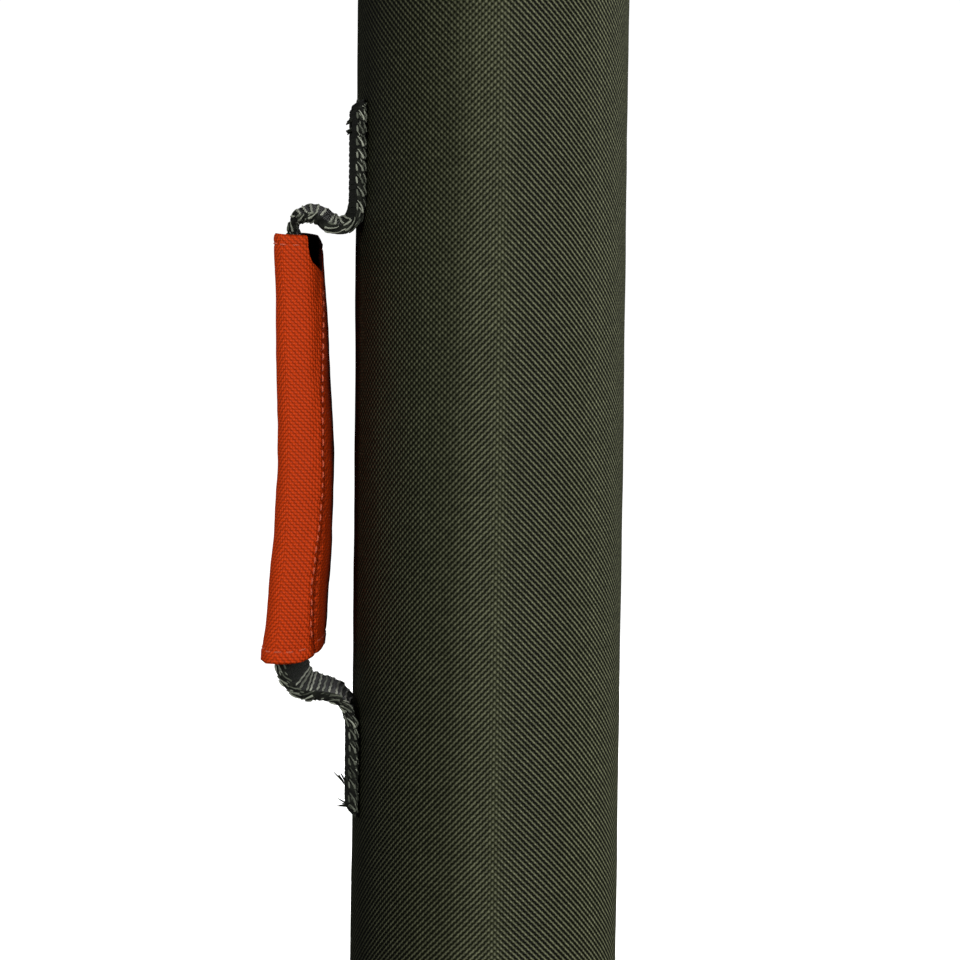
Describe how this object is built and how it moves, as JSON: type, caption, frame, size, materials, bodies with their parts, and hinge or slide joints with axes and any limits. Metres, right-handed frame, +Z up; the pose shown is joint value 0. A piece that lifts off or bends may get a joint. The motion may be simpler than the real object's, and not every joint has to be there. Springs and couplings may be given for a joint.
{
  "type": "rod case",
  "caption": "Slim round fabric-covered rod case with a zipped, hinged lid, divided interior and a webbing carry handle in a padded sleeve.",
  "frame": {"origin": "centre of the flat face that the case stands on, on the tube's axis", "axes": "+Z up along the tube towards the lid, -X towards the carry handle, +Y towards the lid's hinge and the cover's seam"},
  "size_m": [0.1003, 0.076, 0.79],
  "materials": {
    "cover_fabric": "coarse plain weave, matt",
    "piping": "woven binding",
    "board": "matt",
    "rigid_plastic": "satin",
    "foam": "closed-cell foam",
    "liner_fabric": "fine nylon",
    "zip_tape": "woven tape",
    "zip_coil": "nylon coil",
    "slider_metal": "satin gunmetal",
    "pull_rubber": "matt",
    "webbing": "coarse tubular webbing",
    "sleeve_fabric": "coarse plain weave, matt"
  },
  "bodies": {
    "tube": {"base_panel": "cover_fabric", "base_piping": "piping", "base_board": "board", "core_tube": "rigid_plastic", "cover_body": "cover_fabric", "base_foam": "foam", "divider_liner": "liner_fabric", "rim_binding": "piping", "zip_tape_lower": "zip_tape", "zip_chain_lower": "zip_coil", "zip_stop_closed": "slider_metal", "zip_stop_open": "slider_metal", "lid_hinge_panel": "cover_fabric", "strap_end_upper": "webbing", "strap_end_lower": "webbing"},
    "lid": {"zip_chain_upper": "zip_coil", "zip_tape_upper": "zip_tape", "lid_skirt": "cover_fabric", "lid_piping": "piping", "lid_top_panel": "cover_fabric", "lid_board": "board", "lid_stiffener": "rigid_plastic", "lid_foam": "foam", "lid_lining": "liner_fabric"},
    "zip_slider": {"zip_slider_body": "slider_metal"},
    "zip_pull": {"zip_pull_tab": "slider_metal", "zip_pull_grip": "pull_rubber"},
    "handle": {"strap_link_upper": "webbing", "strap_link_lower": "webbing"},
    "grip": {"grip_sleeve": "sleeve_fabric", "grip_foam": "foam", "strap_core": "webbing"}
  },
  "joints": [
    {"name": "lid_hinge", "type": "hinge", "parent": "tube", "child": "lid", "pos_m": [0, 0.037, 0.75], "axis": [-1, 0, 0], "range_deg": [0, 150], "deforming": ["lid_hinge_panel"]},
    {"name": "zip_travel", "type": "hinge", "parent": "tube", "child": "zip_slider", "pos_m": [0, 0, 0.75], "axis": [0, 0, -1], "range_deg": [0, 288], "deforming": ["zip_chain_lower", "zip_chain_upper"]},
    {"name": "zip_pull_swing", "type": "hinge", "parent": "zip_slider", "child": "zip_pull", "pos_m": [0.02259, 0.03349, 0.75], "axis": [0.829, -0.5592, 0], "range_deg": [0, 110]},
    {"name": "handle_swing", "type": "hinge", "parent": "tube", "child": "handle", "pos_m": [-0.0387, 0, 0.4], "axis": [0, 0, 1], "range_deg": [-30, 30], "deforming": ["strap_link_upper", "strap_link_lower"]},
    {"name": "grip_lift", "type": "slide", "parent": "handle", "child": "grip", "axis": [-1, 0, 0], "range_m": [-0.001, 0.008]}
  ]
}
